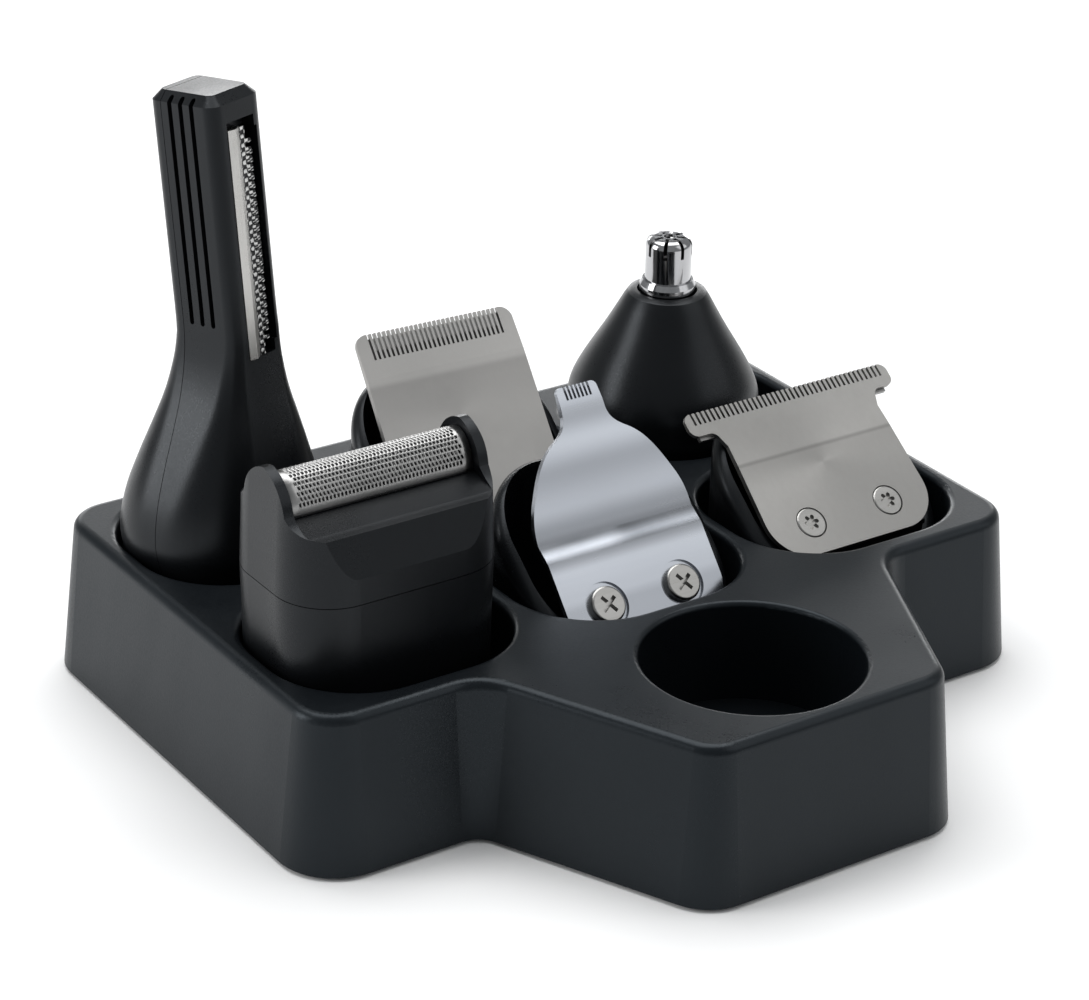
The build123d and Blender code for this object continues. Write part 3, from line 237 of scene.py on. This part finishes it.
cutter_steel = steel("cutter_steel", (0.22, 0.22, 0.22), (0.28, 0.275, 0.27), 0.34, "x",
                     brush=0.15)
detail_steel = steel("detail_steel", (0.46, 0.485, 0.53), (0.51, 0.535, 0.58), 0.24, "x",
                     brush=0.08, grain=700, anisotropic=0.5, painted_bands=DETAIL_PAINTED_BANDS)
tube_steel = steel("tube_steel", (0.40, 0.40, 0.41), (0.52, 0.52, 0.53), 0.13, "z", brush=0.08,
                   grain=1100)
strip_steel = steel("strip_steel", (0.50, 0.49, 0.47), (0.60, 0.59, 0.57), 0.28, "z", brush=0.15)
foil_steel = steel("foil_steel", (0.30, 0.30, 0.295), (0.40, 0.395, 0.39), 0.30, "x", brush=0.08)
spring_steel = steel("spring_steel", (0.45, 0.45, 0.45), (0.6, 0.6, 0.6), 0.3, "x", brush=0.15)
screw_steel = steel("screw_steel", (0.30, 0.296, 0.285), (0.38, 0.375, 0.365), 0.30, "x",
                    brush=0.2, grain=1500)


def woven_painted_glints(rise=0.00150, run=0.00170):
    """The tall head's comb: a woven pattern repeating over rise and run, painted as staggered
    bright glints on dark painted shade.
    """
    s = Shader("woven_painted_glints")
    up = s.along((0, 0, 0), neck_up, rise / math.tau)
    side = s.along(TALL_AT, across, run / math.tau)
    # painted glints and painted shade: the bright points stand in for light caught by the woven
    # teeth, the near-black between them for shade
    points = s.math("MULTIPLY", s.math("SINE", up, 0), s.math("SINE", side, 0))
    points = s.math("ADD", points, s.spread(s.noise(2500, 1), -0.25, 0.25))
    s.link(s.tint(points, (0.03, 0.03, 0.031), (0.60, 0.60, 0.59), 0.0, 0.35),
           s.bsdf.inputs["Base Color"])
    s.bsdf.inputs["Metallic"].default_value = 1.0
    s.bsdf.inputs["Roughness"].default_value = 0.3
    s.bump(points, 0.4, 0.0001)
    return s.mat


# the comb's material, with its painted glints and painted shade, also covers the precision cutter
comb_painted_glints = woven_painted_glints()

LOOKS = {
    "stand_shell": stand_black, "stand_base_cover": stand_black, "stand_feet": rubber,
    "stand_screws": screw_steel,
    "clipper_housing": head_black, "clipper_fixed_blade": clipper_steel,
    "clipper_moving_blade": cutter_steel, "clipper_cam_follower": acetal,
    "clipper_blade_spring": spring_steel, "clipper_blade_screws": screw_steel,
    "t_housing": head_black, "t_fixed_blade": t_steel, "t_moving_blade": cutter_steel,
    "t_cam_follower": acetal, "t_blade_spring": spring_steel, "t_blade_screws": screw_steel,
    "detail_housing": head_black, "detail_fixed_blade": detail_steel,
    "detail_moving_blade": cutter_steel, "detail_cam_follower": acetal,
    "detail_blade_spring": spring_steel, "detail_blade_screws": screw_steel,
    "foil_base": head_black, "foil_frame": head_black, "foil_sheet": foil_steel,
    "foil_cutter": cutter_steel, "foil_carrier": acetal, "foil_spring": spring_steel,
    "nose_housing": head_black, "nose_collar": tube_steel, "nose_guard": tube_steel,
    "nose_bush": acetal, "nose_cutter": cutter_steel, "nose_coupling": acetal,
    "precision_front_shell": head_black, "precision_rear_shell": head_black,
    "precision_guard_strip": strip_steel, "precision_comb": comb_painted_glints,
    "precision_cutter": comb_painted_glints, "precision_drive_link": acetal,
    "precision_spring": spring_steel,
}
for name, look in LOOKS.items():
    piece = nodes[name]
    piece.data.materials.clear()
    piece.data.materials.append(look)
    for face in piece.data.polygons:
        face.material_index = 0


# ---------------------------------------------------------------- perforated foil
FOIL_RISE = 0.0058                      # height of the arch
FOIL_THICK = 0.00012
HOLE_COLUMNS, HOLE_ROWS = 44, 17
HOLED_ARC = math.radians(80)            # the holes reach this far down on each side
PLAIN_LEFT, PLAIN_RIGHT = 0.0019, 0.0014
HOLE_LENGTH, HOLE_WIDTH = 0.27, 0.40    # half axes, as shares of a column and of a row
HOLE_SLANT = 0.22
TUCKED_ARC = 0.1                        # the legs go on into the frame


def perforated_foil(centre, spring_line, length, half, rise, thick):
    """Thin arched sheet with staggered slanting oval holes, plain along both ends."""
    mesh = bmesh.new()
    cache = {}
    step = (length - PLAIN_LEFT - PLAIN_RIGHT) / (HOLE_COLUMNS + 0.5)
    start = PLAIN_LEFT - length / 2

    def vertex(x, angle):
        key = (round(x, 7), round(angle, 5))
        if key not in cache:
            down = max(0.0, abs(angle) - math.pi / 2)
            angle_on = max(-math.pi / 2, min(math.pi / 2, angle))
            cache[key] = mesh.verts.new((centre[0] + x, centre[1] + half * math.sin(angle_on),
                                         spring_line + rise * math.cos(angle_on) - down * half))
        return cache[key]

    for row in range(HOLE_ROWS):
        low = -HOLED_ARC + 2 * HOLED_ARC * row / HOLE_ROWS
        high = -HOLED_ARC + 2 * HOLED_ARC * (row + 1) / HOLE_ROWS
        middle = (low + high) / 2
        shift = step / 2 if row % 2 else 0.0
        for column in range(HOLE_COLUMNS):
            x = start + shift + column * step
            rim = [(x, low), (x + step / 2, low), (x + step, low), (x + step, middle),
                   (x + step, high), (x + step / 2, high), (x, high), (x, middle)]
            hole = []
            for k in range(8):
                a = math.radians(-135 + 45 * k)
                along = HOLE_LENGTH * step * math.cos(a)
                across_row = HOLE_WIDTH * (high - low) * math.sin(a)
                slant = across_row * HOLE_SLANT * step / (high - low)
                hole.append((x + step / 2 + along - slant, middle + across_row))
            for k in range(8):
                n = (k + 1) % 8
                mesh.faces.new([vertex(*rim[k]), vertex(*rim[n]),
                                vertex(*hole[n]), vertex(*hole[k])])
        # plain metal at both ends of the row; between is where the next row's columns meet it
        first, last = start + shift, start + shift + HOLE_COLUMNS * step
        for near, far, between in ((first, -length / 2, start if shift else None),
                                   (last, length / 2, None if shift else last + step / 2)):
            ends = [vertex(far, low), vertex(near, low), vertex(near, middle), vertex(near, high),
                    vertex(far, high)]
            if between is not None:
                ends[4:4] = [vertex(between, high)]
                ends[1:1] = [vertex(between, low)]
            mesh.faces.new(ends if far < near else ends[::-1])
    # plain legs down to the frame
    for side in (-1, 1):
        marks = sorted({x for x, angle in cache if abs(angle - side * HOLED_ARC) < 1e-4})
        for a, b in zip(marks, marks[1:]):
            for t0, t1 in ((HOLED_ARC, math.pi / 2), (math.pi / 2, math.pi / 2 + TUCKED_ARC)):
                quad = [vertex(a, side * t0), vertex(b, side * t0),
                        vertex(b, side * t1), vertex(a, side * t1)]
                mesh.faces.new(quad if side > 0 else quad[::-1])
    bmesh.ops.recalc_face_normals(mesh, faces=mesh.faces)
    data = bpy.data.meshes.new("foil_perforated")
    mesh.to_mesh(data)
    mesh.free()
    for face in data.polygons:
        face.use_smooth = True
    piece = bpy.data.objects.new("foil_perforated", data)
    bpy.context.scene.collection.objects.link(piece)
    depth = piece.modifiers.new("thickness", "SOLIDIFY")
    depth.thickness = thick
    depth.offset = -1
    return piece


low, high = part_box("foil_sheet")
foil_low, foil_high = Vector(low), Vector(high)
foil_middle = (foil_low + foil_high) / 2
foil = perforated_foil((foil_middle.x, foil_middle.y), foil_high.z - FOIL_RISE,
                       foil_high.x - foil_low.x, (foil_high.y - foil_low.y) / 2,
                       FOIL_RISE, FOIL_THICK)
foil.data.materials.append(foil_steel)
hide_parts("foil_sheet")
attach(foil, "foil_top")


# ---------------------------------------------------------------- turned and lofted housings
def sharpen(mesh, degrees):
    """Smooth shading with crisp edges above an angle."""
    for face in mesh.faces:
        face.smooth = True
    for edge in mesh.edges:
        edge.smooth = len(edge.link_faces) == 2 and edge.calc_face_angle(0) < math.radians(degrees)


def new_piece(name, mesh, material):
    data = bpy.data.meshes.new(name)
    mesh.to_mesh(data)
    mesh.free()
    piece = bpy.data.objects.new(name, data)
    bpy.context.scene.collection.objects.link(piece)
    if material:
        data.materials.append(material)
    return piece


def smooth_through(points, steps):
    """Points on a Catmull-Rom curve through the given ones."""
    padded = [points[0], *points, points[-1]]
    out = []
    for a, b, c, d in zip(padded, padded[1:], padded[2:], padded[3:]):
        for k in range(steps):
            t = k / steps
            out.append(tuple(0.5 * (2 * q + (r - p) * t + (2 * p - 5 * q + 4 * r - w) * t ** 2
                                    + (3 * q - p - 3 * r + w) * t ** 3)
                             for p, q, r, w in zip(a, b, c, d)))
    return out + [points[-1]]


def stack(rings, cap=True):
    """Mesh through rings of equally many points, closed at both ends where cap is set."""
    mesh = bmesh.new()
    levels = [[mesh.verts.new(p) for p in ring] for ring in rings]
    count = len(rings[0])
    for low_ring, high_ring in zip(levels, levels[1:]):
        for k in range(count):
            n = (k + 1) % count
            mesh.faces.new([low_ring[k], low_ring[n], high_ring[n], high_ring[k]])
    if cap:
        mesh.faces.new(levels[0][::-1])
        mesh.faces.new(levels[-1])
    return mesh


# nose cone, turned: (radius, height above the socket floor) in mm
NOSE_TOP = [(2.8, 35.0), (2.8, 41.0), (5.3, 41.0), (5.6, 44.0), (6.5, 44.0), (7.3, 43.6)]
NOSE_WALL = [(8.1, 42.4), (11.2, 36.8), (15.4, 29.8), (17.5, 25.4), (18.05, 21.5), (17.9, 15),
             (17.5, 8), (17.0, 1.4)]
NOSE_FOOT = [(16.6, 0.4), (15.6, 0.0), (10.2, 0.0), (10.0, 0.2), (10.0, 10.0), (6.0, 24.0),
             (2.8, 24.0)]
TURNED = 96                             # points around

nose_low, nose_high = (Vector(v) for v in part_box("nose_housing"))
nose_axis = (nose_low + nose_high) / 2
rings = []
for radius, height in NOSE_TOP + smooth_through(NOSE_WALL, 5) + NOSE_FOOT:
    rings.append([(nose_axis.x + mm(radius) * math.cos(math.tau * k / TURNED),
                   nose_axis.y + mm(radius) * math.sin(math.tau * k / TURNED),
                   SOCKET_FLOOR + mm(height)) for k in range(TURNED)])
cone = stack(rings + rings[:1], cap=False)
bmesh.ops.remove_doubles(cone, verts=cone.verts, dist=1e-7)
bmesh.ops.recalc_face_normals(cone, faces=cone.faces)
sharpen(cone, 28)
nose_cone = new_piece("nose_cone", cone, head_black)
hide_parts("nose_housing")
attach(nose_cone, "nose_head")

# tall head: a leaning neck that flares into an oval base; each section is (width, depth, corner)
BASE = (0.0354, 0.0296, 0.0130)
NECK = (0.0123, 0.0146, 0.0024)
# foot of the base: (inset, height) in mm, with the corner drawn in half as much
BASE_FOOT = ((1.7, 0.0), (0.9, 0.3), (0.6, 1.2), (0.2, 10.0))
BASE_CORNER_RATE = 2
# (height in mm, share of the way from the neck's section to the base's, mm ahead, mm aside)
FLARE = [(17.0, 1.0, 0.0, -0.3), (22.0, 1.02, 0.1, -0.8), (28.0, 0.90, 0.4, -0.9),
         (34.0, 0.69, 0.8, -0.8), (40.0, 0.45, 1.15, -0.5), (46.0, 0.22, 1.4, -0.25),
         (52.0, 0.07, 1.5, -0.1), (57.0, 0.012, 1.5, 0.0), (62.0, 0.0, 1.5, 0.0)]
LEAN_FROM, LEAN_OVER = 46, 14           # the sections turn to the neck's lean here, mm
# top of the neck: (height, inset) in mm
NECK_TOP = ((80.0, 0), (97.7, 0), (99.3, 1.6))
NECK_CORNER_RATE = 1.3


def rounded(centre, x_axis, y_axis, width, depth, radius):
    """Ring of a rounded rectangle, 64 points."""
    ring = []
    for corner, (sx, sy) in enumerate(((1, 1), (-1, 1), (-1, -1), (1, -1))):
        middle = (sx * (width / 2 - radius), sy * (depth / 2 - radius))
        for k in range(16):
            angle = math.radians(90 * corner + 90 * k / 15)
            ring.append(centre + x_axis * (middle[0] + radius * math.cos(angle))
                        + y_axis * (middle[1] + radius * math.sin(angle)))
    return ring


def drawn_in(section, inset, corner_rate):
    """A section that is inset mm smaller on every side."""
    width, depth, corner = section
    return width - 2 * mm(inset), depth - 2 * mm(inset), corner - mm(inset) / corner_rate


rings = []
for inset, height in BASE_FOOT:
    rings.append(rounded(TALL_AT + upright * mm(height), across, back,
                         *drawn_in(BASE, inset, BASE_CORNER_RATE)))
for height, share, ahead, aside in smooth_through(FLARE, 4):
    lean = min(1.0, max(0.0, (height - LEAN_FROM) / LEAN_OVER))
    lean = lean * lean * (3 - 2 * lean)
    centre = TALL_AT + upright * mm(height) - back * mm(ahead) + across * mm(aside)
    if height > NECK_FOOT:
        centre = neck_zero + neck_up * mm(height)
    y_axis = (back * (1 - lean) + neck_back * lean).normalized()
    section = [narrow + share * (wide - narrow) for narrow, wide in zip(NECK, BASE)]
    rings.append(rounded(centre, across, y_axis, *section))
for height, inset in NECK_TOP:
    rings.append(rounded(neck_zero + neck_up * mm(height), across, neck_back,
                         *drawn_in(NECK, inset, NECK_CORNER_RATE)))
body = stack(rings)
bmesh.ops.recalc_face_normals(body, faces=body.faces)
tall = new_piece("precision_housing", body, None)


def cutter(name, ring, along_axis, length):
    """A prism that is cut out of the tall head."""
    tool = stack([ring, [point + along_axis * length for point in ring]])
    bmesh.ops.recalc_face_normals(tool, faces=tool.faces)
    piece = new_piece(name, tool, None)
    step = tall.modifiers.new(name, "BOOLEAN")
    step.operation = "DIFFERENCE"
    step.solver = "EXACT"
    step.object = piece
    return piece


def at_neck(x, y, z):
    """A point in the neck's own axes, given in mm."""
    return neck_zero + across * mm(x) + neck_back * mm(y) + neck_up * mm(z)


def box_ring(x0, x1, z0, z1, y):
    return [at_neck(x0, y, z0), at_neck(x1, y, z0), at_neck(x1, y, z1), at_neck(x0, y, z1)]


# openings, in mm in the neck's own axes unless said: left, right, bottom, top, front
WINDOW, WINDOW_DEPTH = (-3.1, 3.5, 53.0, 94.5, -9.0), 4.3
LANE, LANE_DEPTH = (1.9, 4.1, 55.0, 92.5, -8.0), 8.0        # where the cutter slides
CHANNEL_FOOT, CHANNEL_LENGTH = 8.0, 87.3                    # for the drive link
CHANNEL = (0.0064, 0.0060, 0.001)
RECESS, RECESS_DEPTH = (0.0254, 0.0206, 0.007), 18.0        # hollow underside of the base
SEAM_PLACE, SEAM_GAP = 4.14, 0.12
SEAM_SHEET = ((-30, -20), (30, -20), (30, 120), (-30, 120))
SLOT_PLACES = (2.2, -0.2, -2.6)
SLOT_HALF, SLOT_BOTTOM, SLOT_TOP = 0.475, 59.5, 98.3
SLOT_SIDE, SLOT_DEPTH = -7.5, 4.8

cutters = [
    cutter("window", box_ring(*WINDOW), neck_back, mm(WINDOW_DEPTH)),
    cutter("lane", box_ring(*LANE), neck_back, mm(LANE_DEPTH)),
    cutter("channel", rounded(neck_zero + neck_up * mm(CHANNEL_FOOT), across, neck_back, *CHANNEL),
           neck_up, mm(CHANNEL_LENGTH)),
    cutter("recess", rounded(TALL_AT - upright * mm(1.0), across, back, *RECESS),
           upright, mm(RECESS_DEPTH)),
    cutter("seam", [at_neck(x, SEAM_PLACE, z) for x, z in SEAM_SHEET], neck_back, mm(SEAM_GAP)),
]
for place in SLOT_PLACES:
    ring = []
    for k in range(18):
        angle = math.pi * (k if k < 9 else k - 1) / 8
        ring.append(at_neck(SLOT_SIDE, place + SLOT_HALF * math.cos(angle),
                            (SLOT_TOP if k < 9 else SLOT_BOTTOM) + SLOT_HALF * math.sin(angle)))
    cutters.append(cutter("slot", ring, across, mm(SLOT_DEPTH)))

bpy.context.view_layer.update()
cut = bmesh.new()
cut.from_mesh(tall.evaluated_get(bpy.context.evaluated_depsgraph_get()).to_mesh())
bmesh.ops.remove_doubles(cut, verts=cut.verts, dist=2e-6)
sharpen(cut, 26)
tall.modifiers.clear()
cut.to_mesh(tall.data)
cut.free()
tall.data.materials.append(head_black)
for tool in cutters:
    bpy.data.objects.remove(tool)
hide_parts("precision_front_shell", "precision_rear_shell")
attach(tall, "precision_head")

# ---------------------------------------------------------------- studio
FLOOR_DROP = 0.0002                     # the floor lies this far under the feet
bpy.ops.mesh.primitive_plane_add(size=8, location=(0, 0, -FLOOR_DROP))
floor = bpy.context.object
floor.name = "floor"
paper = Shader("paper")
paper.link(paper.tint(paper.noise(6, 4), (0.93, 0.93, 0.93), (0.95, 0.95, 0.95)),
           paper.bsdf.inputs["Base Color"])
paper.bsdf.inputs["Roughness"].default_value = 0.7
paper.bsdf.inputs["Specular IOR Level"].default_value = 0.1
paper.bump(paper.noise(500, 3), 0.05, 0.0001)
floor.data.materials.append(paper.mat)


def softbox(name, at, aim, width, height, power):
    data = bpy.data.lights.new(name, "AREA")
    data.shape = "RECTANGLE"
    data.size = width
    data.size_y = height
    data.energy = power
    lamp = bpy.data.objects.new(name, data)
    bpy.context.scene.collection.objects.link(lamp)
    lamp.location = at
    lamp.rotation_euler = (Vector(aim) - Vector(at)).to_track_quat("-Z", "Y").to_euler()


softbox("overhead", (0.1, 0.35, 1.3), (0, 0, 0), 1.5, 1.0, 17)
softbox("back_glow", (0.75, 1.25, 0.32), (0, 0, 0.05), 1.6, 0.35, 9)
softbox("left_key", (-1.1, 0.45, 0.42), (0, 0, 0.04), 0.5, 0.7, 7)
softbox("plate_light", (0.85, -0.85, 0.95), (0, 0, 0.04), 1.2, 1.2, 4.2)

world = bpy.data.worlds.new("studio")
bpy.context.scene.world = world
world.use_nodes = True
backdrop = world.node_tree.nodes["Background"]
backdrop.inputs["Color"].default_value = (0.95, 0.98, 1.0, 1)
backdrop.inputs["Strength"].default_value = 0.33

# ---------------------------------------------------------------- camera, at the photo's angle
CAMERA_AT = (-0.3070, -0.4246, 0.2971)
VIEW = (0.5107, 0.7374, -0.4421)
SIDE = (0.8221, -0.5694, 0.0)           # level, to the right
ROLL = math.radians(1.5)
LENS, SENSOR = 112.4, 36                # mm

ahead = Vector(VIEW).normalized()
level = Vector(SIDE).normalized()
above = level.cross(ahead).normalized()
right = level * math.cos(ROLL) + above * math.sin(ROLL)
top = above * math.cos(ROLL) - level * math.sin(ROLL)
camera_data = bpy.data.cameras.new("camera")
camera_data.lens = LENS
camera_data.sensor_width = SENSOR
camera_data.clip_start = 0.01
camera = bpy.data.objects.new("camera", camera_data)
bpy.context.scene.collection.objects.link(camera)
turn = Matrix((right, top, -ahead)).transposed()
camera.matrix_world = Matrix.Translation(CAMERA_AT) @ turn.to_4x4()
bpy.context.scene.camera = camera
bpy.context.scene.view_settings.view_transform = "Standard"
